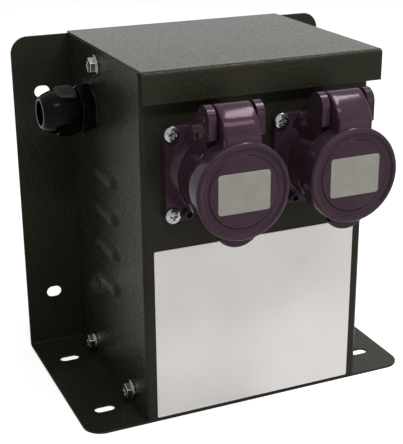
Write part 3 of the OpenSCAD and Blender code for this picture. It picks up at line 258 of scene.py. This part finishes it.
# Black polyamide, moulded: nearly no colour, only a faint tight gloss with slight flow marks.
black_nylon = finish("polyamide_moulded_black", ("#040405", "#060607"), (0.14, 0.24), grain=0.9, depth=0.012,
                     blotch=12, ior=1.53, sheen=0.06)
softened("lead_clip_moulding", "lead_clip", black_nylon, edge=0.2)

# Cable gland: a body that is screwed through the left wall against a washer, its locknut inside,
# and a ribbed cap nut that squeezes a rubber seal on the cord. Body and nuts are moulded.
# Black rubber, moulded: dull, with a fine grain that scatters the little light it returns.
rubber = finish("rubber_moulded_black", ("#161617", "#1d1d1e"), (0.7, 0.9), grain=0.5, depth=0.02, blotch=10,
                ior=1.52, sheen=0.3)
softened("gland_washer_ring", "gland_washer", rubber, edge=0.3)
softened("gland_body_moulding", "gland_body", black_nylon, edge=0.5)
softened("gland_locknut_moulding", "gland_locknut", black_nylon, edge=0.5)
softened("gland_seal_sleeve", "gland_seal", rubber, edge=0.3)
# The cap's ribs are too fine for a round, so its edges stay sharp.
softened("gland_cap_moulding", "gland_cap", black_nylon, edge=0, angle=25)

# Core: a stack of stamped electrical steel sheets, varnished and bolted together at its corners.
# Dark oxide and varnish, with the sheets' edges as fine lines. Real sheets are 0.5 mm thick, and here
# the lines are 1 mm apart so that they show.
core_steel = finish("lamination_steel_varnished", ("#3f4144", "#55534e"), (0.35, 0.55), grain=1.2, depth=0.01,
                    blotch=15, metal=0.7)


def ribbed(material, axis, pitch, relief):
    """Raises a material's surface in waves along an axis of the object: relief times the sine of one full
    turn in every pitch millimetres."""
    tree = material.node_tree
    here = node(tree, "ShaderNodeTexCoord")
    apart = node(tree, "ShaderNodeSeparateXYZ", [(0, here.outputs["Object"])])
    turns = node(tree, "ShaderNodeMath", [(0, apart.outputs[axis])], operation="MULTIPLY",
                 in1=2 * math.pi / (pitch * MM))
    wave = node(tree, "ShaderNodeMath", [(0, turns.outputs[0])], operation="SINE")
    waves = node(tree, "ShaderNodeBump",
                 [("Height", wave.outputs[0]), ("Normal", tree.nodes["bump"].outputs[0])])
    waves.inputs["Distance"].default_value = relief * MM
    tree.links.new(waves.outputs[0], tree.nodes["Principled BSDF"].inputs["Normal"])


ribbed(core_steel, "Y", pitch=1.0, relief=0.06)
softened("core_stack", "core", core_steel, edge=0.2)

# Coils: a moulded bobbin on the middle leg, the mains winding, varnished paper, the low-voltage
# winding, and yellow polyester tape round them all.
# Glass-filled polyamide, moulded: ivory, satin, faintly mottled by its fibres.
bobbin_plastic = finish("polyamide_moulded_ivory", ("#cfc8b4", "#d9d3c3"), (0.4, 0.55), grain=0.8, depth=0.01,
                        blotch=8, ior=1.53)
softened("bobbin_moulding", "bobbin", bobbin_plastic, edge=0.3)
# Enamelled copper wire, wound: red-brown and glossy, ridged by its turns, one above the other.
copper_wire = finish("copper_wire_enamelled", ("#9c4f2c", "#b3623a"), (0.25, 0.4), grain=3, depth=0.02,
                     blotch=12, metal=0.8, stretch=(1, 1, 5))
ribbed(copper_wire, "Z", pitch=1.4, relief=0.3)
softened("primary_coil", "primary_winding", copper_wire, edge=0.3)
# Insulating paper, soaked in varnish: amber brown, with long fibres.
paper = finish("paper_varnished_amber", ("#a98b4c", "#c1a565"), (0.35, 0.5), grain=2, depth=0.02, blotch=9,
               stretch=(1, 1, 4))
softened("paper_layer", "winding_paper", paper, edge=0.1)
softened("secondary_coil", "secondary_winding", copper_wire, edge=0.3)
# Polyester tape: yellow, glossy, with long wrinkles along its run.
wrap_tape = finish("polyester_tape_yellow", ("#cbb551", "#d9c76c"), (0.15, 0.25), grain=5, depth=0.12,
                   blotch=14, ior=1.57, stretch=(1, 1, 4))
softened("tape_wrap", "coil_wrap", wrap_tape, edge=0.2)

# Brackets: folded steel angles that clamp the yokes and stand on studs welded to the base.
# The front upper one is folded back as a shelf for the terminal block. All are zinc plated.
for name in ("front_bracket", "rear_bracket", "rear_clamp_bar", "terminal_bracket"):
    softened(name + "_sheet", name, zinc_plate, edge=0.3)
for name in ("core_bolts", "foot_studs", "foot_nuts"):
    softened(name + "_set", name, zinc_plate, edge=0.25)

# Thermal cut-out strapped on the coil, and the terminal block with its clamp screws.
softened("thermal_cutout_case", "thermal_cutout", black_nylon, edge=0.6)
# Polyamide, moulded natural white: satin and slightly waxy.
block_plastic = finish("polyamide_moulded_white", ("#d2d2cb", "#dcdcd7"), (0.35, 0.5), grain=0.8, depth=0.01,
                       blotch=8, ior=1.53)
softened("terminal_block_moulding", "terminal_block", block_plastic, edge=0.2)
softened("terminal_screw_set", "terminal_screws", zinc_plate, edge=0.2)

# Earth point: a stud welded to the base, with a nut over the crimped tag of the earth lead.
for name in ("earth_stud", "earth_nut", "earth_tag"):
    softened(name + "_piece", name, zinc_plate, edge=0.2)

# Leads: copper strands in soft insulation, from the coils to the terminal block and on to the sockets,
# and from the earth tag through its clip. They bend in wide quarter turns, and their ends are pushed in.
thin_lead, thick_lead, lead_seat = 1.6, 2.2, 6.0
# Radii of the turn over the core and of the tighter corners.
lead_loop, lead_corner = 12.0, 8.0
# The block's poles, and how deep inside the windings' and the clip's edges the leads run.
poles, pole_pitch, pole_lift = 7, 9.0, 5.0
winding_half, clip_ring = 3.4, 3.0


def skin(name, grid, paint, body, cad_node, rows_join=False, sharp=35):
    """A mesh over grid[i, j], points in millimetres. The columns close round. The first and the last row are
    capped, or joined to each other. Its UV runs along the rows in millimetres and once round the columns."""
    rows, columns = grid.shape[:2]
    i, j = np.meshgrid(np.arange(rows if rows_join else rows - 1), np.arange(columns), indexing="ij")
    corners = [(i, j), (i, j + 1), (i + 1, j + 1), (i + 1, j)]
    quads = np.stack([a % rows * columns + b % columns for a, b in corners], -1).reshape(-1, 4)
    middle = grid.mean(1)
    length = np.linalg.norm(np.diff(middle, axis=0, prepend=middle[:1]), axis=1).cumsum()
    chart = np.stack([np.stack([length[a % rows], b / columns], -1) for a, b in corners], -2).reshape(-1, 2)
    faces = quads.tolist()
    if not rows_join:
        faces += [list(range(columns)), list(range((rows - 1) * columns, rows * columns))]
        chart = np.concatenate([chart, np.zeros((2 * columns, 2))])
    mesh = bpy.data.meshes.new(name)
    mesh.from_pydata((grid.reshape(-1, 3) * MM).tolist(), [], faces)
    mesh.uv_layers.new(name="along").data.foreach_set("uv", chart.astype(np.float32).ravel())
    # Points within a thousandth of a millimetre are one, which closes seams and poles.
    shell = bmesh.new()
    shell.from_mesh(mesh)
    bmesh.ops.remove_doubles(shell, verts=shell.verts, dist=0.001 * MM)
    bmesh.ops.dissolve_degenerate(shell, edges=shell.edges, dist=0.0005 * MM)
    bmesh.ops.recalc_face_normals(shell, faces=shell.faces)
    shell.to_mesh(mesh)
    shell.free()
    mesh.shade_smooth()
    mesh.set_sharp_from_angle(angle=math.radians(sharp))
    mesh.materials.append(paint)
    piece = bpy.data.objects.new(name, mesh)
    bpy.context.collection.objects.link(piece)
    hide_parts(cad_node)
    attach(piece, body)
    return piece


def tube(path, radius, side, around=16):
    """Rings of a round wire along path. Each ring lies square to the path's own direction d, in the plane of
    u = d x side and v = u x d: centre + radius (cos a u + sin a v)."""
    path = np.asarray(path, float)
    heading = np.gradient(path, axis=0)
    heading /= np.linalg.norm(heading, axis=1, keepdims=True)
    u = np.cross(heading, side)
    u /= np.linalg.norm(u, axis=1, keepdims=True)
    v = np.cross(u, heading)
    a = np.linspace(0, 2 * np.pi, around, endpoint=False)[None, :, None]
    return path[:, None] + radius * (np.cos(a) * u[:, None] + np.sin(a) * v[:, None])


def bend(centre, start, end, radius, steps=10):
    """Quarter turn about centre: centre + radius (cos a start + sin a end), a from 0 to a right angle."""
    a = np.linspace(0, np.pi / 2, steps)[:, None]
    return np.array(centre) + radius * (np.cos(a) * np.array(start) + np.sin(a) * np.array(end))


def run(*stretches, step=1.5):
    """Joins stretches to one path and fills its straight runs with a point every step millimetres. Points
    closer together than least are left out."""
    least = 0.2
    points = np.concatenate([np.atleast_2d(s) for s in stretches])
    length = np.concatenate([[0], np.linalg.norm(np.diff(points, axis=0), axis=1).cumsum()])
    at = np.union1d(length, np.arange(0, length[-1], step))
    at = at[np.concatenate([[True], np.diff(at) > least])]
    at[-1] = length[-1]
    return np.stack([np.interp(at, length, points[:, k]) for k in range(3)], -1)


def corners_of(cad_node):
    """Lowest and highest corner of a CAD node in millimetres."""
    return [np.array(corner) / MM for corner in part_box(cad_node)]


block_low, block_high = corners_of("terminal_block")
lead_z = block_low[2] + pole_lift
pole_x = (np.arange(poles) - poles // 2) * pole_pitch
earth_pole, primary_poles, secondary_poles = 0, (3, 4), (1, 2, 5, 6)
X, Y, Z = np.eye(3)


def coil_lead(pole, winding):
    """Route from the top of a winding up, over the core and into the rear of a pole."""
    top = corners_of(winding)[1]
    y = top[1] - winding_half
    return run([pole_x[pole], y, top[2]],
               bend([pole_x[pole], y - lead_loop, lead_z - lead_loop], Y, Z, lead_loop),
               [pole_x[pole], block_high[1] - lead_seat, lead_z])


# Soft PVC insulation, extruded: even colour, satin, slightly dented by handling.
lead_brown = finish("pvc_insulation_brown", ("#6e4127", "#7a4a2b"), (0.3, 0.42), grain=4, depth=0.03,
                    ior=1.54)
lead_black = finish("pvc_insulation_black", ("#121213", "#18181a"), (0.3, 0.42), grain=4, depth=0.03,
                    ior=1.54)
for pole in primary_poles:
    skin("primary_lead_%d" % pole, tube(coil_lead(pole, "primary_winding"), thin_lead, X), lead_brown,
         "case", "primary_leads")
for pole in secondary_poles:
    skin("secondary_lead_%d" % pole, tube(coil_lead(pole, "secondary_winding"), thick_lead, X), lead_black,
         "case", "secondary_leads")

# A socket's lead leaves its contact's post by a short straight, and drops to the block in an S.
post_spread, lead_straight = 6.5, 1.0
for pole, (side, k) in zip(secondary_poles, (("left", -1), ("left", 1), ("right", -1), ("right", 1))):
    low, high = corners_of(side + "_contacts")
    start = [(low[0] + high[0]) / 2 + k * post_spread, high[1], (low[2] + high[2]) / 2]
    first = high[1] + lead_straight
    route = run([start[0], start[1] - lead_seat, start[2]],
                bend([start[0], first, start[2] - lead_corner], Z, Y, lead_corner),
                bend([pole_x[pole], first + 2 * lead_corner, lead_z + lead_corner], -Y, -Z, lead_corner),
                [pole_x[pole], block_low[1] + lead_seat, lead_z])
    skin("socket_lead_%d" % pole, tube(route, thick_lead, X), lead_black, "case",
         "socket_leads")

# Earth lead: green with a yellow stripe that winds once round in 25 mm. It is crimped in the tag's barrel,
# held to the wall by the clip, and bent over the core to the first pole.
lead_earth = finish("pvc_insulation_green_yellow", ("#4b7424", "#527c28"), (0.3, 0.42), grain=4, depth=0.03,
                    ior=1.54)
stripe_pitch, stripe_share = 25.0, 0.4
barrel_wall = 0.5
tree = lead_earth.node_tree
length_and_turn = node(tree, "ShaderNodeUVMap", uv_map="along")
apart = node(tree, "ShaderNodeSeparateXYZ", [(0, length_and_turn.outputs[0])])
wound = node(tree, "ShaderNodeMath", [(0, apart.outputs["X"]), (2, apart.outputs["Y"])],
             operation="MULTIPLY_ADD", in1=1 / stripe_pitch)
turned = node(tree, "ShaderNodeMath", [(0, wound.outputs[0])], operation="FRACT")
striped = node(tree, "ShaderNodeMath", [(0, turned.outputs[0])], operation="LESS_THAN", in1=stripe_share)
# A colour mix has its two colours at inputs 6 and 7, and the result at output 2.
blend = node(tree, "ShaderNodeMix", [("Factor", striped.outputs[0]), (6, tree.nodes["tint"].outputs[0])],
             data_type="RGBA")
blend.inputs[7].default_value = linear("#d8c02c")
tree.links.new(blend.outputs[2], tree.nodes["Principled BSDF"].inputs["Base Color"])
tag_low, tag_high = corners_of("earth_tag")
clip_low, clip_high = corners_of("lead_clip")
clip_x, clip_y = clip_high[0] - clip_ring, clip_high[1] - clip_ring
tag_y, tag_up = (tag_low[1] + tag_high[1]) / 2, tag_low[2] + thin_lead + barrel_wall
loop_y = block_high[1] + lead_loop
route = run([tag_low[0], tag_y, tag_up],
            bend([clip_x + lead_corner, tag_y, tag_up + lead_corner], -Z, -X, lead_corner),
            [[clip_x, clip_y, clip_low[2]], [clip_x, clip_y, clip_high[2]]],
            bend([clip_x + lead_loop, loop_y, lead_z - lead_loop], -X, Z, lead_loop),
            bend([pole_x[earth_pole] - lead_corner, loop_y - lead_corner, lead_z], Y, X, lead_corner),
            [pole_x[earth_pole], block_high[1] - lead_seat, lead_z])
skin("earth_wire", tube(route, thin_lead, X + Y - Z), lead_earth, "case", "earth_lead")

# Sockets: a housing with a square flange, collar and hinge ears, and a sleeve pressed into its bore.
# Each sits on a rubber gasket and takes a dark carrier with two brass contacts from behind.
sides = ("left", "right")
# Polyamide, moulded in a dyed purple: semi-gloss, so that edges carry thin highlights, with slight flow
# marks and a faint drift of the colour.
purple = finish("polyamide_moulded_purple", ("#3a2a35", "#402f3a"), (0.1, 0.17), grain=0.9, depth=0.006,
                blotch=18, ior=1.53, sheen=0.15)
purple.node_tree.nodes["Principled BSDF"].inputs["Specular Tint"].default_value = linear("#e6c4da")
# The carrier is the same plastic in a darker dye, moulded duller.
carrier_plastic = finish("polyamide_moulded_dark_purple", ("#2a2230", "#322838"), (0.4, 0.55), grain=0.7,
                         depth=0.012, blotch=10, ior=1.53)
# Brass, turned from bar: warm, with fine rings round the contact's own axis.
brass = finish("brass_turned", ("#c4a254", "#b8934a"), (0.16, 0.3), grain=4, depth=0.01, blotch=4, metal=1.0,
               stretch=(1, 9, 1))
for side in sides:
    softened(side + "_gasket_sheet", side + "_gasket", rubber, edge=0.1)
    softened(side + "_socket_housing", side + "_socket", purple, edge=0.15)
    softened(side + "_socket_sleeve", side + "_sleeve", purple, edge=0.4)
    softened(side + "_contact_carrier", side + "_carrier", carrier_plastic, edge=0.3)
    softened(side + "_contact_pair", side + "_contacts", brass, edge=0.2)
softened("socket_screw_heads", "socket_screws", zinc_plate, edge=0.25)
softened("socket_nut_set", "socket_nuts", zinc_plate, edge=0.25)

# Hinge pins of zinc-plated wire in the sockets' ears, and the torsion springs that are wound on them.
# Each spring has a leg behind the hinge and a leg under the hood, and turns with its flap.
wire_radius, coil_radius, coil_turns, coil_pitch, leg = 0.45, 2.95, 6, 1.6, 5.5
turn_steps, leg_steps = 24, 5
# The hinge's axis: how far up from the socket's axis, and how far out of the panel.
hinge_up, hinge_out = 41.5, 34.5
# Spring steel, drawn and oil tempered: grey, smooth and glossy, with fine draw marks.
spring_steel = finish("spring_steel_drawn", ("#8d9093", "#a2a4a4"), (0.2, 0.32), grain=0.5, depth=0.006,
                      blotch=3, metal=1.0)


def on_panel(side, points):
    """Sets points given as right, up and out of the panel round a socket's axis into the object's frame."""
    low, high = corners_of(side + "_gasket")
    points = np.asarray(points, float)
    return np.stack([(low[0] + high[0]) / 2 + points[..., 0], high[1] - points[..., 2],
                     (low[2] + high[2]) / 2 + points[..., 1]], -1)


# The turns' centre line: (pitch t, up - r cos t, out + r sin t), t in turns, between two straight legs.
t = np.linspace(0, coil_turns, coil_turns * turn_steps + 1)
coil = np.stack([(t - coil_turns / 2) * coil_pitch, hinge_up - coil_radius * np.cos(2 * np.pi * t),
                 hinge_out + coil_radius * np.sin(2 * np.pi * t)], -1)
legs = np.linspace(0, leg, leg_steps)[1:, None] * Z
spring_path = np.concatenate([coil[0] - legs[::-1], coil, coil[-1] + legs])
for side in sides:
    softened(side + "_hinge_rod", side + "_hinge_pin", zinc_plate, edge=0.3)
    skin(side + "_spring_wire", on_panel(side, tube(spring_path, wire_radius, X, 10)), spring_steel,
         side + "_flap_unit", side + "_spring")

# Flaps: one moulding each, a round cap with a rolled rim, a curved hood up to the hinge and a thumb lug.
# A rubber seal sits inside the cap, and a bare cream plate is stuck on its face.
flap_r, skirt_back = 30.0, 38.0
# The hood: half its width, the width of a knuckle, the round of its sides, and its wall.
hood_half, knuckle, hood_round, hood_wall = 11.5, 4.5, 1.3, 2.5
# Its line in the plane of up and out: the barrel on the pin, the arc of its back, its front and its foot.
barrel_r, arc_r, arc_centre = 8.0, 28.0, np.array([23.77, 25.24])
front_out, foot_up, foot_inset = 51.5, 27.0, 1.0
hinge, pin_hole = np.array([hinge_up, hinge_out]), 2.08


def arc(centre, radius, first, last, steps):
    """Points of an arc in a plane: centre + radius (cos a, sin a), a from first to last in degrees."""
    a = np.radians(np.linspace(first, last, steps))
    return np.asarray(centre) + radius * np.stack([np.cos(a), np.sin(a)], -1)


# Half section of the cap, radius and distance out, from the middle of its face round the rim to the
# middle of its inside. A crowned disc, a shallow groove, a rolled rim, and the skirt.
cap_section = np.concatenate([
    [[0, 52.5], [12, 52.45]], arc([21.6, 51.7], 0.7, 92, 0, 6), arc([23.3, 52.4], 1.0, 200, 270, 5),
    [[24.8, 51.38]], arc([26.1, 52.2], 0.8, 270, 340, 4), arc([28.1, 51.1], 1.9, 130, 0, 12),
    [[flap_r, 49.3], [flap_r, 44]], arc([29.4, 38.6], 0.6, 0, -90, 4), arc([28.4, 38.6], 0.6, 270, 180, 4),
    [[27.8, 44], [27.8, 49.6], [27.3, 50], [14, 50], [0, 50]]])


def flap_cap():
    """The cap section turned round the socket's axis: (r cos a, r sin a, out)."""
    a = np.linspace(0, 2 * np.pi, 96, endpoint=False)[:, None]
    r, out = cap_section[None, :, 0], cap_section[None, :, 1]
    return np.stack([r * np.cos(a), r * np.sin(a), out + 0 * a], -1)


def arc_ends(inset):
    """Angles at which the hood's arc leaves the barrel and reaches the front, in degrees: the bearing of the
    hinge from the arc's centre, and the arc sine of the front's distance over the radius."""
    meet = math.degrees(math.atan2(*(hinge - arc_centre)[::-1]))
    return meet, math.degrees(math.asin((front_out - inset - arc_centre[1]) / (arc_r - inset)))


def hood_outside(inset):
    """Outer line of the hood, up and out: round the barrel, over the arc to the front, down to the cap."""
    meet, end = arc_ends(inset)
    return np.concatenate([arc(hinge, barrel_r - inset, 0, meet, 8),
                           arc(arc_centre, arc_r - inset, meet, end, 25)[1:],
                           [[foot_up, front_out - inset]]])


def hood_inside(x, inset, open_inside):
    """Inner line, from the cap back to the barrel: the hollow under the hood's skin, or round a knuckle."""
    if open_inside:
        meet, end = arc_ends(hood_wall)
        return np.concatenate([[[foot_up, front_out - hood_wall]],
                               arc(arc_centre, arc_r - hood_wall, end, meet, 16),
                               arc(hinge, barrel_r - hood_wall, meet, 0, 8)[1:]])
    foot = max(foot_up, math.sqrt((flap_r - foot_inset) ** 2 - x * x))
    halfway = [(foot + (hinge_up - barrel_r)) / 2, (skirt_back + hinge_out) / 2 + inset]
    return np.concatenate([[[foot, skirt_back + inset], halfway],
                           arc(hinge, barrel_r - inset, 180, 360, 23)[:-1]])


def hood():
    """Stations across the hood, each a closed line in the plane of up and out. Towards both sides the line
    draws in by round - sqrt(round^2 - s^2), s being how far the station lies in the round."""
    s = hood_round * np.sin(np.linspace(0, np.pi / 2, 6))
    side_x = hood_half - hood_round + s
    side_inset = hood_round - np.sqrt(np.maximum(hood_round ** 2 - s ** 2, 0))
    inner = hood_half - knuckle
    half = [(x, inset, False) for x, inset in zip(side_x[::-1], side_inset[::-1])] + [(inner, 0, False)]
    stations = half + [(inner, 0, True)]
    stations = stations + [(-x, inset, hollow) for x, inset, hollow in stations[::-1]]
    grid = []
    for x, inset, hollow in stations:
        line = np.concatenate([hood_outside(inset), hood_inside(abs(x), inset, hollow)])
        grid.append(np.column_stack([np.full(len(line), x), line]))
    return np.stack(grid)


def lug():
    """Thumb lug: a crescent on a circle of its own, 52 degrees to each side of straight down:
    (radius cos a, radius sin a - drop). Its rim is rounded, and its root lies inside the cap's rim."""
    drop, radius, thick, root_r, rim_round = 21.0, 16.0, 5.0, 28.4, 1.2
    back = skirt_back + thick / 2
    a = np.radians(np.linspace(-142, -38, 40))
    outer = np.stack([radius * np.cos(a), radius * np.sin(a) - drop], -1)
    bearing = np.arctan2(outer[:, 1], outer[:, 0])
    root = root_r * np.stack([np.cos(bearing), np.sin(bearing)], -1)
    section = arc([0, 0], 1, -90, 90, 9)
    reach = 1 - rim_round / radius * (1 - section[:, 0])
    lift = back + thick / 2 + section[:, 1] * thick / 2
    rim = np.stack([outer[:, None, 0] * reach, (outer[:, None, 1] + drop) * reach - drop], -1)
    rim = np.concatenate([rim, root[:, None], root[:, None]], 1)
    outs = np.concatenate([lift, [back + thick, back]])
    return np.concatenate([rim, np.broadcast_to(outs[None, :, None], rim.shape[:2] + (1,))], -1)


def bored(piece, side):
    """Cuts the pin's hole through a hood's knuckles, with a rod that stands out by past millimetres."""
    past, around = 1, 32
    pin_line = np.stack([np.linspace(-hood_half - past, hood_half + past, 2), np.full(2, hinge_up),
                         np.full(2, hinge_out)], -1)
    rings = on_panel(side, tube(pin_line, pin_hole, Y, around))
    mesh = bpy.data.meshes.new("pin_hole")
    faces = [(k, (k + 1) % around, around + (k + 1) % around, around + k) for k in range(around)]
    mesh.from_pydata((rings.reshape(-1, 3) * MM).tolist(), [],
                     faces + [tuple(range(around))[::-1], tuple(range(around, 2 * around))])
    cutter = bpy.data.objects.new("pin_hole", mesh)
    bpy.context.collection.objects.link(cutter)
    shell = bmesh.new()
    shell.from_mesh(mesh)
    bmesh.ops.recalc_face_normals(shell, faces=shell.faces)
    shell.to_mesh(mesh)
    shell.free()
    cut = piece.modifiers.new("bore", "BOOLEAN")
    cut.operation, cut.solver, cut.object = "DIFFERENCE", "EXACT", cutter
    bpy.context.view_layer.update()
    done = bpy.data.meshes.new_from_object(piece.evaluated_get(bpy.context.evaluated_depsgraph_get()))
    piece.modifiers.remove(cut)
    piece.data = done
    bpy.data.objects.remove(cutter)


# Vinyl plate: a warm greyish cream, satin and flat.
cream = finish("vinyl_plate_cream", ("#8c8a80", "#949288"), (0.35, 0.45), grain=0.6, depth=0.004, blotch=8,
               ior=1.54)
for side in sides:
    unit = side + "_flap_unit"
    skin(side + "_flap_cap", on_panel(side, flap_cap()), purple, unit, side + "_flap",
         rows_join=True, sharp=50)
    bored(skin(side + "_flap_hood", on_panel(side, hood()), purple, unit, side + "_flap",
               sharp=40), side)
    skin(side + "_flap_lug", on_panel(side, lug()), purple, unit, side + "_flap", sharp=50)
    softened(side + "_seal_ring", side + "_flap_seal", rubber, unit, edge=0.3)
    softened(side + "_bare_plate", side + "_flap_plate", cream, unit, edge=0.12)

bpy.context.scene.view_settings.view_transform = "Standard"
